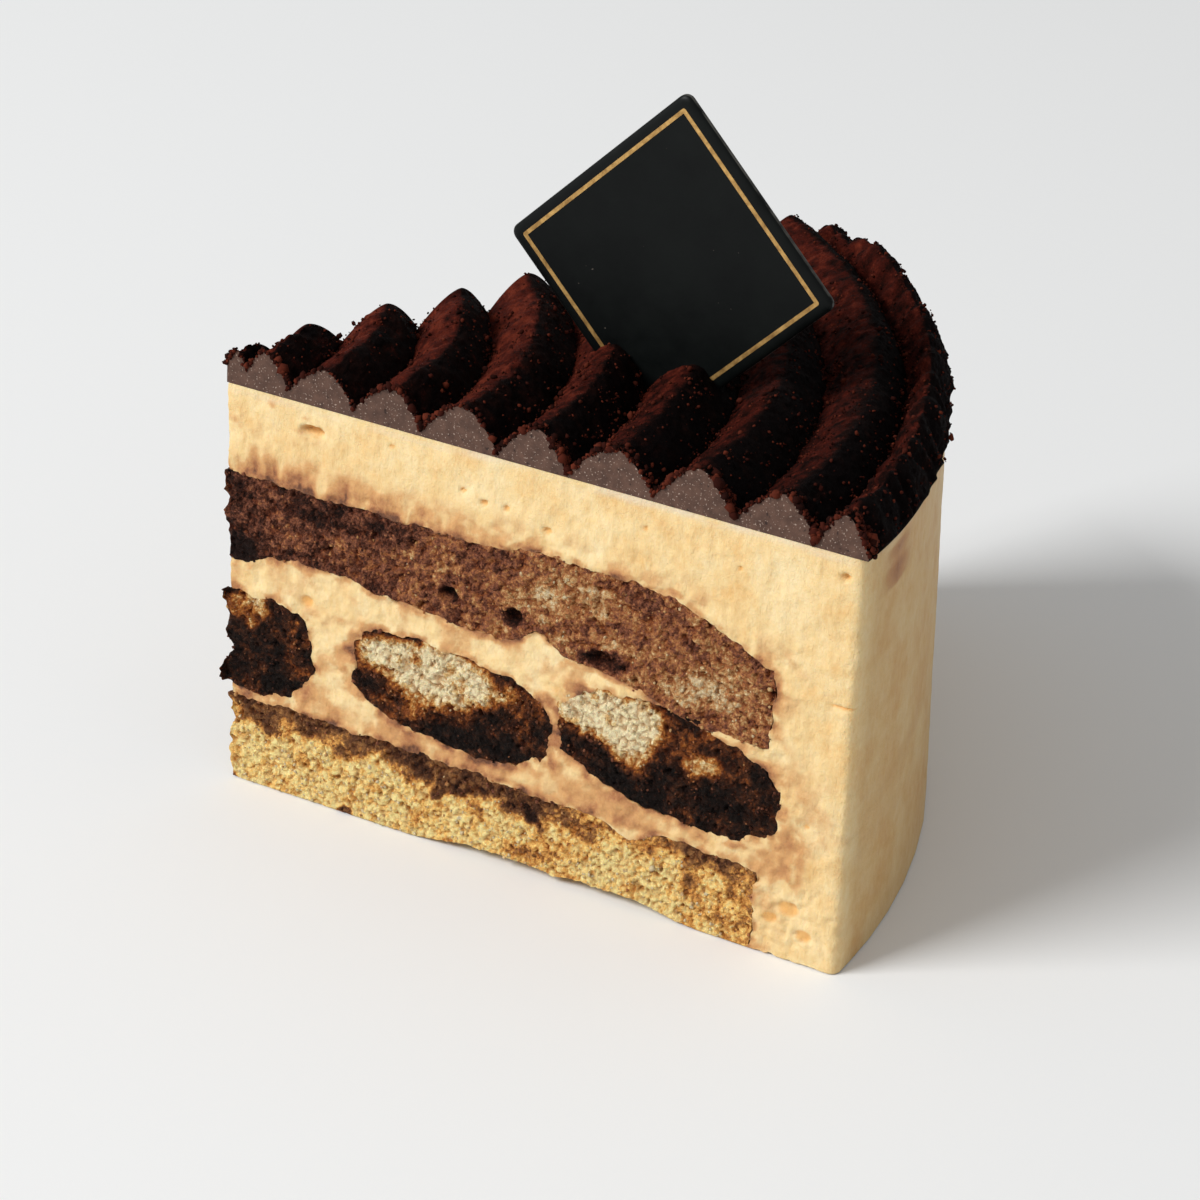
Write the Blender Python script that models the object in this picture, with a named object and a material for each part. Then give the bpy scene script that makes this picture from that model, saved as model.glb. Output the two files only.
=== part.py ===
"""A slice of tiramisu cake with a card stuck in its top.

The slice is cut from a round cake. Its frame while it is being made: the foot of
the tip is at the origin, the front cut runs along +X in the plane y = 0, the back
cut turns away from it by CUT_ANGLE, and +Z is up. At the end everything is moved
so that the middle of the footprint's box is at the origin, standing on z = 0.
"""
import math

import bmesh
import bpy
import numpy as np
from mathutils import Matrix, Vector

MM = 0.001
GAP = 0.3 * MM                       # clearance between pieces that touch

# The round cake and the two cuts that part the slice from it
CAKE_CENTRE = (-31.0 * MM, 3.0 * MM)
BASE_RADIUS = 131.0 * MM
TOP_RADIUS = 129.4 * MM
CREAM_HEIGHT = 63.3 * MM
CUT_ANGLE = math.radians(66.5)
TIP_LEAN = -1.8 * MM                 # how far the tip overhangs its foot at the cream's top
WALL_DRAW_IN = 1.5 * MM              # how far the top of the outer wall leans in, away from the front cut
SWEEP = (math.radians(-12.0), math.radians(62.0))
HUB_RADIUS = 18.0 * MM               # inner end of swept rings, well inside the tip

# How many straight steps stand for each curve
CREAM_STEPS = 36                     # round the cake
SPONGE_STEPS = 18
ROPE_STEPS = 22
TOP_SPONGE_POINTS = 16               # across a sponge's section
BOTTOM_SPONGE_POINTS = 9
FINGER_POINTS = 28                   # round a ladyfinger
FLANK_POINTS = 7                     # up each flank of a rope

# The two layers of sponge
SPONGE_RADIUS = 117.5 * MM
TOP_SPONGE_FLOOR = 37.4 * MM
TOP_SPONGE_ROOF = 49.8 * MM
BOTTOM_SPONGE_ROOF = 13.8 * MM

# The ladyfingers, which lie side by side and run from cut to cut
FINGER_HEADING = math.radians(114.0)
FINGERS = (                          # centre along the front cut, height, half width, half thickness, tilt
    (3.0 * MM, 23.4 * MM, 10.2 * MM, 7.2 * MM, math.radians(-4.0)),
    (36.8 * MM, 24.2 * MM, 15.5 * MM, 6.9 * MM, math.radians(-6.0)),
    (72.0 * MM, 24.6 * MM, 16.4 * MM, 7.5 * MM, math.radians(-9.0)),
)
FINGER_SQUARENESS = 2.5              # exponent of the section's rounded outline

# The ropes of ganache, ring by ring from the tip to the rim
VALLEY_RADII = [r * MM for r in (29.6, 32.8, 39.8, 50.5, 61.5, 73.7, 84.9, 98.0, 110.2, 122.1, 129.8)]
CREST_RADII = [r * MM for r in (31.2, 35.9, 45.9, 57.1, 68.2, 79.9, 92.1, 104.6, 117.4, 126.2)]
ROPE_HEIGHT = 5.8 * MM
ROPE_FOOT = 0.6 * MM                 # height at which neighbouring ropes part
TIP_ROPE_HEIGHT = 4.6 * MM
RIM_ROPE_FADE = (math.radians(49.5), math.radians(55.0))  # where the rim rope was pulled off, thinning out

# The square card, standing on one corner
CARD_SIDE = 36.2 * MM
CARD_THICKNESS = 1.6 * MM
CARD_CORNER = 1.4 * MM
CARD_EDGE = 0.3 * MM
CARD_MIDDLE = Vector((50.6 * MM, 33.6 * MM, 82.6 * MM))
CARD_TURN = math.radians(1.6)
CARD_LEAN = math.radians(3.6)
CARD_RIDGES = (6, 7)                 # the ropes that the card is pushed through


def clear_scene():
    """Remove whatever the file opened with."""
    for thing in list(bpy.data.objects):
        bpy.data.objects.remove(thing, do_unlink=True)


def material(name, colour, roughness, metallic=0.0):
    """A plain Principled material."""
    mat = bpy.data.materials.new(name)
    mat.use_nodes = True
    shader = mat.node_tree.nodes["Principled BSDF"]
    shader.inputs["Base Color"].default_value = (*colour, 1.0)
    shader.inputs["Roughness"].default_value = roughness
    shader.inputs["Metallic"].default_value = metallic
    return mat


def add_object(name, mesh, mat=None):
    """Put a mesh in the scene, or a guide when it has no material."""
    thing = bpy.data.objects.new(name, mesh)
    bpy.context.scene.collection.objects.link(thing)
    if mat is None:
        thing.hide_render = True
        thing.display_type = "WIRE"
    else:
        mesh.materials.append(mat)
    return thing


def lofted_mesh(name, rings, smooth_angle=math.radians(35.0)):
    """Join a row of equal closed rings, shape (rings, points, 3), and cap both ends."""
    count, size, _ = rings.shape
    index = np.arange(count * size).reshape(count, size)
    ahead = np.roll(index, -1, axis=1)
    quads = np.stack([index[:-1], ahead[:-1], ahead[1:], index[1:]], axis=-1).reshape(-1, 4)
    faces = quads.tolist() + [index[0].tolist(), index[-1][::-1].tolist()]
    mesh = bpy.data.meshes.new(name)
    mesh.from_pydata(rings.reshape(-1, 3).tolist(), [], faces)
    shell = bmesh.new()
    shell.from_mesh(mesh)
    bmesh.ops.recalc_face_normals(shell, faces=shell.faces)
    shell.to_mesh(mesh)
    shell.free()
    mesh.shade_smooth()
    mesh.set_sharp_from_angle(angle=smooth_angle)
    return mesh


def joined_mesh(name, meshes):
    """One mesh of several closed shells that stay clear of each other."""
    shells = bmesh.new()
    for mesh in meshes:
        shells.from_mesh(mesh)
    bmesh.ops.triangulate(shells, faces=shells.faces)
    whole = bpy.data.meshes.new(name)
    shells.to_mesh(whole)
    shells.free()
    return whole


def cut(thing, tool, operation):
    """Keep an exact Boolean on an object."""
    modifier = thing.modifiers.new(operation.title(), "BOOLEAN")
    modifier.operation = operation
    modifier.solver = "EXACT"
    modifier.object = tool


def smooth_step(x, start, end):
    """Rise from 0 at start to 1 at end without a kink at either."""
    t = np.clip((x - start) / (end - start), 0.0, 1.0)
    return t * t * (3.0 - 2.0 * t)


def grown(outline, distance):
    """Move each point of an anticlockwise outline outwards by about the distance."""
    before = np.roll(outline, 1, axis=0)
    after = np.roll(outline, -1, axis=0)
    along = after - before
    normal = np.stack([along[:, 1], -along[:, 0]], axis=1)
    normal /= np.linalg.norm(normal, axis=1)[:, None]
    return outline + normal * distance


def wall_drawn_in(angle):
    """How far the rim at the cream's top stands inside its circle at an angle round the cake."""
    return WALL_DRAW_IN * float(smooth_step(angle, 0.0, math.radians(22.0)))


def cream_wall(angle, outline):
    """The cream's outline with its top outer corner leaning in."""
    here = outline.copy()
    here[2, 0] -= wall_drawn_in(angle)
    return here


def ring_sweep(outline, steps, wobble=None):
    """Carry a (radius, height) outline round the cake's centre.

    wobble, if given, maps the angle and the outline to the outline there.
    """
    rings = []
    for angle in np.linspace(*SWEEP, steps + 1):
        here = outline if wobble is None else wobble(angle, outline)
        x = CAKE_CENTRE[0] + here[:, 0] * math.cos(angle)
        y = CAKE_CENTRE[1] + here[:, 0] * math.sin(angle)
        rings.append(np.stack([x, y, here[:, 1]], axis=1))
    return np.array(rings)


def band_outline(floor, roof, inner, outer, points):
    """Anticlockwise (radius, height) outline of a layer between two height curves."""
    radius = np.linspace(inner, outer, points)
    below = np.stack([radius, floor(radius)], axis=1)
    above = np.stack([radius, roof(radius)], axis=1)[::-1]
    return np.concatenate([below, above])


# ---- Guides: the two cuts, and the hole that each filling and the card leave ----

def wedge_guide():
    """Everything between the front cut and the leaning back cut."""
    reach = 220.0 * MM
    low, high = -5.0 * MM, 80.0 * MM
    levels = []
    for z in (low, high):
        tip = TIP_LEAN * z / CREAM_HEIGHT
        back = (tip + reach * math.cos(CUT_ANGLE), reach * math.sin(CUT_ANGLE), z)
        levels.append([(tip, 0.0, z), (reach, 0.0, z), back])
    return add_object("wedge_guide", lofted_mesh("wedge_guide", np.array(levels)))


def card_matrix():
    """Pose of the card: turned, leaning back, square on one corner."""
    turn = Matrix.Rotation(CARD_TURN, 4, "Z") @ Matrix.Rotation(-CARD_LEAN, 4, "X")
    return Matrix.Translation(CARD_MIDDLE) @ turn @ Matrix.Rotation(math.radians(45.0), 4, "Y")


def card_mesh(name, margin):
    """Square plate in its own XZ plane, with rounded corners and softened edges."""
    half = CARD_SIDE / 2 + margin
    depth = CARD_THICKNESS / 2 + margin
    radius = CARD_CORNER + margin
    outline = []
    for quarter in range(4):
        middle = math.radians(45.0 + 90.0 * quarter)
        reach = (half - radius) * math.sqrt(2.0)
        for step in range(5):
            angle = math.radians(90.0 * quarter + 22.5 * step)
            x = reach * math.cos(middle) + radius * math.cos(angle)
            z = reach * math.sin(middle) + radius * math.sin(angle)
            outline.append((x, z))
    outline = np.array(outline)
    rings = []
    shoulder = depth - CARD_EDGE
    for y, inset in ((-depth, CARD_EDGE), (-shoulder, 0.0), (shoulder, 0.0), (depth, CARD_EDGE)):
        edge = outline * (1.0 - inset / half)
        rings.append(np.stack([edge[:, 0], np.full(len(edge), y), edge[:, 1]], axis=1))
    return lofted_mesh(name, np.array(rings))


# ---- Sponges: two round layers that reach the tip but stop short of the rim ----

def top_sponge_outline():
    """Even near the tip, deeper towards the rim, with a drooping outer edge."""
    def floor(radius):
        return TOP_SPONGE_FLOOR - 1.4 * MM * smooth_step(radius, 82 * MM, 92 * MM)

    def roof(radius):
        swell = 1.2 * MM * np.exp(-((radius - 90 * MM) / (14 * MM)) ** 2)
        return TOP_SPONGE_ROOF + swell - 4.6 * MM * smooth_step(radius, 102 * MM, SPONGE_RADIUS)

    return band_outline(floor, roof, HUB_RADIUS, SPONGE_RADIUS, TOP_SPONGE_POINTS)


def bottom_sponge_outline():
    """Flat on the board, its roof sinking a little towards the rim."""
    def floor(radius):
        return np.zeros_like(radius)

    def roof(radius):
        return BOTTOM_SPONGE_ROOF - 1.0 * MM * smooth_step(radius, 70 * MM, 100 * MM)

    return band_outline(floor, roof, HUB_RADIUS, SPONGE_RADIUS - 0.8 * MM, BOTTOM_SPONGE_POINTS)


# ---- Ladyfingers: straight, oval in section ----

def finger_rings(place, margin):
    """The section across the heading, carried straight through both cuts."""
    centre, height, half_width, half_thickness, tilt = place
    turn = np.linspace(0.0, 2.0 * np.pi, FINGER_POINTS, endpoint=False)
    power = 2.0 / FINGER_SQUARENESS
    across = (half_width + margin) * np.sign(np.cos(turn)) * np.abs(np.cos(turn)) ** power
    upward = (half_thickness + margin) * np.sign(np.sin(turn)) * np.abs(np.sin(turn)) ** power
    sideways = across * math.cos(tilt) - upward * math.sin(tilt)
    rise = height + across * math.sin(tilt) + upward * math.cos(tilt)
    ahead = np.array([math.cos(FINGER_HEADING), math.sin(FINGER_HEADING)])
    side = np.array([ahead[1], -ahead[0]])
    rings = []
    for travel in (-30.0 * MM, 150.0 * MM):
        x = centre + side[0] * sideways + ahead[0] * travel
        y = side[1] * sideways + ahead[1] * travel
        rings.append(np.stack([x, y, rise], axis=1))
    return np.array(rings)


# ---- Ganache: ropes piped side by side in rings ----

def rope_outline(inner, crest, outer, height):
    """Foot, gentle inner flank, rounded crest and steeper outer flank of one rope."""
    base = CREAM_HEIGHT + GAP
    foot = base + ROPE_FOOT
    inner += GAP / 2
    outer -= GAP / 2
    rise = np.linspace(0.0, 1.0, FLANK_POINTS)
    arch = (height - ROPE_FOOT) * (1.0 - (1.0 - rise) ** 1.6)
    inside = np.stack([inner + (crest - inner) * rise, foot + arch], axis=1)
    outside = np.stack([outer + (crest - outer) * rise, foot + arch], axis=1)
    feet = np.array([(inner, base), (outer, base)])
    return np.concatenate([feet, outside, inside[::-1][1:]])


def rope_wobble(number):
    """Each rope's height changes a little along its length, as a hand-piped one does."""
    base = CREAM_HEIGHT + GAP
    at_rim = number == len(CREST_RADII)

    def at(angle, outline):
        swell = 1.0 + 0.05 * math.sin(9.0 * angle + 1.7 * number) + 0.03 * math.sin(21.0 * angle + number)
        here = outline.copy()
        if at_rim:
            swell *= 1.0 - 0.6 * float(smooth_step(angle, *RIM_ROPE_FADE))
            inner, outer = outline[:, 0].min(), outline[:, 0].max()
            here[:, 0] -= wall_drawn_in(angle) * (outline[:, 0] - inner) / (outer - inner)
        here[:, 1] = base + (outline[:, 1] - base) * swell
        return here

    return at


def stand_on_origin(pieces):
    """Move all pieces under one empty, so that their box stands centred on the origin."""
    bpy.context.view_layer.update()
    depsgraph = bpy.context.evaluated_depsgraph_get()
    points = []
    for piece in pieces:
        solid = piece.evaluated_get(depsgraph)
        points += [solid.matrix_world @ vertex.co for vertex in solid.data.vertices]
    places = np.array(points)
    middle = (places.min(axis=0) + places.max(axis=0)) / 2
    slice_root = bpy.data.objects.new("slice", None)
    bpy.context.scene.collection.objects.link(slice_root)
    for thing in bpy.context.scene.objects:
        if thing is not slice_root:
            thing.parent = slice_root
    slice_root.location = (-middle[0], -middle[1], 0.0)


clear_scene()
cream_mat = material("mascarpone_cream", (0.83, 0.60, 0.33), 0.45)
top_sponge_mat = material("coffee_sponge", (0.16, 0.07, 0.035), 0.6)
bottom_sponge_mat = material("plain_sponge", (0.56, 0.38, 0.16), 0.7)
finger_mat = material("soaked_ladyfinger", (0.10, 0.04, 0.02), 0.5)
ganache_mat = material("chocolate_ganache", (0.06, 0.03, 0.025), 0.6)
card_mat = material("black_card", (0.01, 0.012, 0.012), 0.35)

wedge = wedge_guide()
card_hole = add_object("card_hole", card_mesh("card_hole", GAP))
card_hole.matrix_world = card_matrix()
pieces = []

top_sponge_mesh = lofted_mesh("sponge_top", ring_sweep(top_sponge_outline(), SPONGE_STEPS))
top_sponge = add_object("sponge_top", top_sponge_mesh, top_sponge_mat)
bottom_sponge_mesh = lofted_mesh("sponge_bottom", ring_sweep(bottom_sponge_outline(), SPONGE_STEPS))
bottom_sponge = add_object("sponge_bottom", bottom_sponge_mesh, bottom_sponge_mat)
for layer in (top_sponge, bottom_sponge):
    cut(layer, wedge, "INTERSECT")
    pieces.append(layer)

lowered = grown(bottom_sponge_outline(), GAP)
lowered[lowered[:, 1] < GAP, 1] = -5.0 * MM
hollows = [lofted_mesh("top_hollow", ring_sweep(grown(top_sponge_outline(), GAP), SPONGE_STEPS)),
           lofted_mesh("bottom_hollow", ring_sweep(lowered, SPONGE_STEPS))]

for number, place in enumerate(FINGERS, start=1):
    name = f"ladyfinger_{number}"
    finger = add_object(name, lofted_mesh(name, finger_rings(place, 0.0)), finger_mat)
    cut(finger, wedge, "INTERSECT")
    pieces.append(finger)
    hollows.append(lofted_mesh(f"finger_hollow_{number}", finger_rings(place, GAP)))
layer_hollows = add_object("layer_hollows", joined_mesh("layer_hollows", hollows))

# The cream is one mass: it wraps every layer and makes the outer wall
cream_outline = np.array([
    (HUB_RADIUS, 0.0), (BASE_RADIUS, 0.0), (TOP_RADIUS, CREAM_HEIGHT), (HUB_RADIUS, CREAM_HEIGHT)])
cream_mesh = lofted_mesh("cream_body", ring_sweep(cream_outline, CREAM_STEPS, cream_wall))
cream = add_object("cream_body", cream_mesh, cream_mat)
cut(cream, wedge, "INTERSECT")
for hollow in (layer_hollows, card_hole):
    cut(cream, hollow, "DIFFERENCE")
pieces.append(cream)

for number, crest in enumerate(CREST_RADII, start=1):
    name = f"ganache_ridge_{number:02d}"
    height = TIP_ROPE_HEIGHT if number == 1 else ROPE_HEIGHT
    profile = rope_outline(VALLEY_RADII[number - 1], crest, VALLEY_RADII[number], height)
    rope_mesh = lofted_mesh(name, ring_sweep(profile, ROPE_STEPS, rope_wobble(number)))
    rope = add_object(name, rope_mesh, ganache_mat)
    cut(rope, wedge, "INTERSECT")
    if number in CARD_RIDGES:
        cut(rope, card_hole, "DIFFERENCE")
    pieces.append(rope)

card = add_object("card", card_mesh("card", 0.0), card_mat)
card.matrix_world = card_matrix()
pieces.append(card)

stand_on_origin(pieces)
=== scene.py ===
import math

import bpy
import numpy as np
from mathutils import Matrix, Vector


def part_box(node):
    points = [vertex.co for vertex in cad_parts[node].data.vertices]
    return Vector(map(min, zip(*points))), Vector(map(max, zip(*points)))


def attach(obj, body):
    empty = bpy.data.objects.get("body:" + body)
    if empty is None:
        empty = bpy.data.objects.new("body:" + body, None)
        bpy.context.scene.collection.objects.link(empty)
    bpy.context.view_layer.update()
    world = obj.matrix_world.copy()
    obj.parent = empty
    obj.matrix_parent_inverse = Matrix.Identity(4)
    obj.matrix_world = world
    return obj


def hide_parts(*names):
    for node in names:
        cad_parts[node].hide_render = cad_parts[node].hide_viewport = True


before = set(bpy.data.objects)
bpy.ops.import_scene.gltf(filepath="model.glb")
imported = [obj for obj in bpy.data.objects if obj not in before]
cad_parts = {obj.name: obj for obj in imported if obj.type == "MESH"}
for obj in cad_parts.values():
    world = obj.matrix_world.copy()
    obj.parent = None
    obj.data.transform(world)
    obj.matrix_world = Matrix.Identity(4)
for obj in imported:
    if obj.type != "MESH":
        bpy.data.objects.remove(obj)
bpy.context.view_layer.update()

# ==== Cream: mascarpone cream with a little coffee run into it ====
# One mass of whipped mascarpone and egg, set cold round the sponges and the
# ladyfingers and smoothed by hand at the rim. A knife has dragged down both cuts,
# which leaves faint upright streaks, small air holes and some smeared coffee.

# The slice while it is drawn: millimetres, the foot of its tip at the origin, the
# front cut along +X in y = 0, +Z up. The cake it was cut from is round.
CAKE_X, CAKE_Y = -31.0, 3.0
CUT_ANGLE = math.radians(66.5)
CREAM_TOP = 63.3
TIP_OVERHANG = 1.8
TIP_WIDTH = 0.5                      # how far behind the sharp corner the blunt tip stands
BASE_RADIUS = 131.0
WALL_TAPER = 1.6
WALL_DRAW_IN = 1.5
SPONGE_END = 86.5                    # distance along the front cut at which both sponges stop
STEP_GROWTH = 1.25                   # power by which the steps from cut to cut get longer
CREAM_CELL, CREAM_STEPS = 0.37, 13   # size of its cells on the cuts, and steps from cut to cut
body_low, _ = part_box("cream_body")
TO_PART = np.array([body_low.x * 1000 + TIP_OVERHANG, body_low.y * 1000, 0.0])


def smooth_step(x, start, end):
    """0 before start, 1 after end, and 3t^2 - 2t^3 of the share t of the way between."""
    t = np.clip((x - start) / (end - start), 0.0, 1.0)
    return t * t * (3.0 - 2.0 * t)


def hashed(ix, iy, iz, seed):
    """A repeatable number from 0 to 1 for each whole-number corner: its multiples mixed bit by bit."""
    h = (ix.astype(np.int64) * 374761393 + iy.astype(np.int64) * 668265263
         + iz.astype(np.int64) * 2147483647 + seed * 974634777) & 0xFFFFFFFF
    h = ((h ^ (h >> 13)) * 1274126177) & 0xFFFFFFFF
    h = ((h ^ (h >> 16)) * 2246822519) & 0xFFFFFFFF
    return ((h ^ (h >> 15)) & 0xFFFFFF) / 0xFFFFFF


def noise(points, size, seed):
    """Smooth noise from -1 to 1: a grid's corner numbers, blended by smooth steps on three axes."""
    q = points / np.asarray(size, float)
    base = np.floor(q)
    t = q - base
    t = t * t * (3.0 - 2.0 * t)
    total = np.zeros(len(q))
    for corner in np.ndindex(2, 2, 2):
        weight = np.prod(np.where(np.array(corner) == 1, t, 1.0 - t), axis=1)
        total += weight * hashed(*(base + corner).T, seed)
    return total * 2.0 - 1.0


def fractal(points, size, octaves, seed):
    """Noise plus half as much of it at half the size, again and again, scaled back to about -1 to 1."""
    total, share = np.zeros(len(points)), 0.0
    for octave in range(octaves):
        part = 0.5 ** octave
        total += part * noise(points, np.asarray(size, float) * part, seed + octave)
        share += part
    return total / share


def nearest_cell(points, size, seed):
    """Distance to the nearest of points strewn one to a grid cell, in cells, and that point's own number."""
    q = points / size
    base = np.floor(q)
    best, number = np.full(len(q), 9.0), np.zeros(len(q))
    for corner in np.ndindex(3, 3, 3):
        cell = base + np.array(corner) - 1.0
        spot = np.stack([hashed(*cell.T, seed + k) for k in range(3)], axis=1)
        gap = np.linalg.norm(cell + spot - q, axis=1)
        nearer = gap < best
        best = np.where(nearer, gap, best)
        number = np.where(nearer, hashed(*cell.T, seed + 3), number)
    return best, number


def tip_x(z):
    """Where the two cuts meet at a height: it leans out over the foot in proportion to the height."""
    return -TIP_OVERHANG * z / CREAM_TOP


def round_cake(x, z, c):
    """Section point (x, z) carried round the cake, c from 0 at the front cut to 1 at the back one.

    The angle goes evenly from that of the front cut to that of the back cut, which is
    where the circle through the point meets the plane through the leaning tip.
    """
    radius = np.hypot(x - CAKE_X, CAKE_Y)
    start = -np.arcsin(CAKE_Y / radius)
    wx, wy = tip_x(z) - CAKE_X, -CAKE_Y
    dx, dy = math.cos(CUT_ANGLE), math.sin(CUT_ANGLE)
    along = wx * dx + wy * dy
    reach = -along + np.sqrt(np.maximum(along ** 2 - wx ** 2 - wy ** 2 + radius ** 2, 0.0))
    end = np.arctan2(wy + reach * dy, wx + reach * dx)
    angle = start + c * (end - start)
    drawn = WALL_DRAW_IN * smooth_step(angle, 0.0, math.radians(22.0)) * np.clip(z / CREAM_TOP, 0.0, 1.1)
    radius = radius - drawn * smooth_step(x, 88.0, 99.0)
    return np.stack([CAKE_X + radius * np.cos(angle), CAKE_Y + radius * np.sin(angle), z], axis=-1)


def corner_normals(points, quads):
    """Unit normal at each point: the sum of its faces' cross products, made length one."""
    cross = np.cross(points[quads[:, 2]] - points[quads[:, 0]], points[quads[:, 3]] - points[quads[:, 1]])
    total = np.zeros_like(points)
    for corner in range(4):
        for axis in range(3):
            total[:, axis] += np.bincount(quads[:, corner], cross[:, axis], len(points))
    return total / np.maximum(np.linalg.norm(total, axis=1, keepdims=True), 1e-9)


def carried(inside, span, cell, steps):
    """A closed piece with one section all the way round the cake.

    inside(x, z) is above 0 in the section. It is laid out in square cells, the cells
    whose middle is inside are kept, and the points at their border are slid down the
    slope of inside until it is 0 there. Both cuts are covered with the cells, and the
    border is joined from cut to cut in steps that start short and get longer.
    """
    nx, nz = (round((span[k + 1] - span[k]) / cell) for k in (0, 2))
    x, z = np.meshgrid(np.linspace(span[0], span[1], nx + 1),
                       np.linspace(span[2], span[3], nz + 1), indexing="ij")
    kept = inside((x[1:, 1:] + x[:-1, :-1]) / 2, (z[1:, 1:] + z[:-1, :-1]) / 2) > 0
    for _ in range(4):               # cells that only touch at a corner are joined
        a, b, c, d = kept[:-1, :-1], kept[1:, :-1], kept[:-1, 1:], kept[1:, 1:]
        pinch = (a & d & ~b & ~c) | (b & c & ~a & ~d)
        kept[:-1, :-1] |= pinch
        kept[1:, :-1] |= pinch
    framed = np.pad(kept, 1)
    count = sum(part.astype(int) for part in (
        framed[:-1, :-1], framed[1:, :-1], framed[:-1, 1:], framed[1:, 1:]))
    border = (count > 0) & (count < 4)
    home_x, home_z, step, slack = x.copy(), z.copy(), cell / 8, cell * 0.6
    for _ in range(4):               # rounds of sliding
        here = inside(x, z)
        slope_x = (inside(x + step, z) - here) / step
        slope_z = (inside(x, z + step) - here) / step
        steep = slope_x ** 2 + slope_z ** 2 + 0.05
        x = np.where(border, np.clip(x - here * slope_x / steep, home_x - slack, home_x + slack), x)
        z = np.where(border, np.clip(z - here * slope_z / steep, home_z - slack, home_z + slack), z)
    used = count > 0
    front = np.full(x.shape, -1)
    front[used] = np.arange(used.sum())
    total, edge_total = int(used.sum()), int(border.sum())
    edge = np.full(x.shape, -1)
    edge[border] = np.arange(edge_total)
    levels = np.empty((steps + 1, edge_total), int)
    levels[0] = front[border]
    levels[steps] = front[border] + total
    levels[1:steps] = 2 * total + np.arange((steps - 1) * edge_total).reshape(steps - 1, edge_total)
    i, j = np.nonzero(kept)
    caps = np.stack([front[i, j], front[i + 1, j], front[i + 1, j + 1], front[i, j + 1]], axis=1)
    sides = []
    for (di, dj), (pi, pj), (qi, qj) in (((0, -1), (0, 0), (1, 0)), ((1, 0), (1, 0), (1, 1)),
                                         ((0, 1), (1, 1), (0, 1)), ((-1, 0), (0, 1), (0, 0))):
        open_side = ~framed[i + 1 + di, j + 1 + dj]
        p, q = edge[i + pi, j + pj][open_side], edge[i + qi, j + qj][open_side]
        strip = np.stack([levels[:-1, p], levels[1:, p], levels[1:, q], levels[:-1, q]], axis=-1)
        sides.append(strip.reshape(-1, 4))
    quads = np.concatenate([caps, caps[:, ::-1] + total] + sides)
    share = (np.arange(steps + 1) / steps) ** STEP_GROWTH
    xs = np.concatenate([x[used], x[used], np.tile(x[border], steps - 1)])
    zs = np.concatenate([z[used], z[used], np.tile(z[border], steps - 1)])
    cs = np.concatenate([np.zeros(total), np.ones(total), np.repeat(share[1:-1], edge_total)])
    points = round_cake(xs, zs, cs)
    normals = corner_normals(points, quads)
    return {"points": points, "faces": quads, "x": xs, "z": zs, "c": cs, "normals": normals}


def put(name, shape, materials, attributes=None, face_material=None, sharp=180.0):
    """Make an object of points in millimetres, with numbers kept at each point for its material."""
    mesh = bpy.data.meshes.new(name)
    points = (np.asarray(shape["points"]) + TO_PART) * 0.001
    faces = shape["faces"]
    sizes = np.array([len(face) for face in faces])
    corners = np.concatenate(faces)
    mesh.vertices.add(len(points))
    mesh.vertices.foreach_set("co", points.astype(np.float32).reshape(-1))
    mesh.loops.add(len(corners))
    mesh.loops.foreach_set("vertex_index", corners.astype(np.int32))
    mesh.polygons.add(len(sizes))
    mesh.polygons.foreach_set("loop_start", (np.cumsum(sizes) - sizes).astype(np.int32))
    mesh.update(calc_edges=True)
    for material in materials:
        mesh.materials.append(material)
    if face_material is not None:
        mesh.polygons.foreach_set("material_index", np.asarray(face_material, np.int32))
    for key, values in (attributes or {}).items():
        store = mesh.attributes.new(key, "FLOAT", "POINT")
        store.data.foreach_set("value", np.asarray(values, np.float32))
    mesh.shade_smooth()
    if sharp < 180.0:
        mesh.set_sharp_from_angle(angle=math.radians(sharp))
    mesh.validate()
    thing = bpy.data.objects.new(name, mesh)
    bpy.context.scene.collection.objects.link(thing)
    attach(thing, "root")
    return thing


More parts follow.
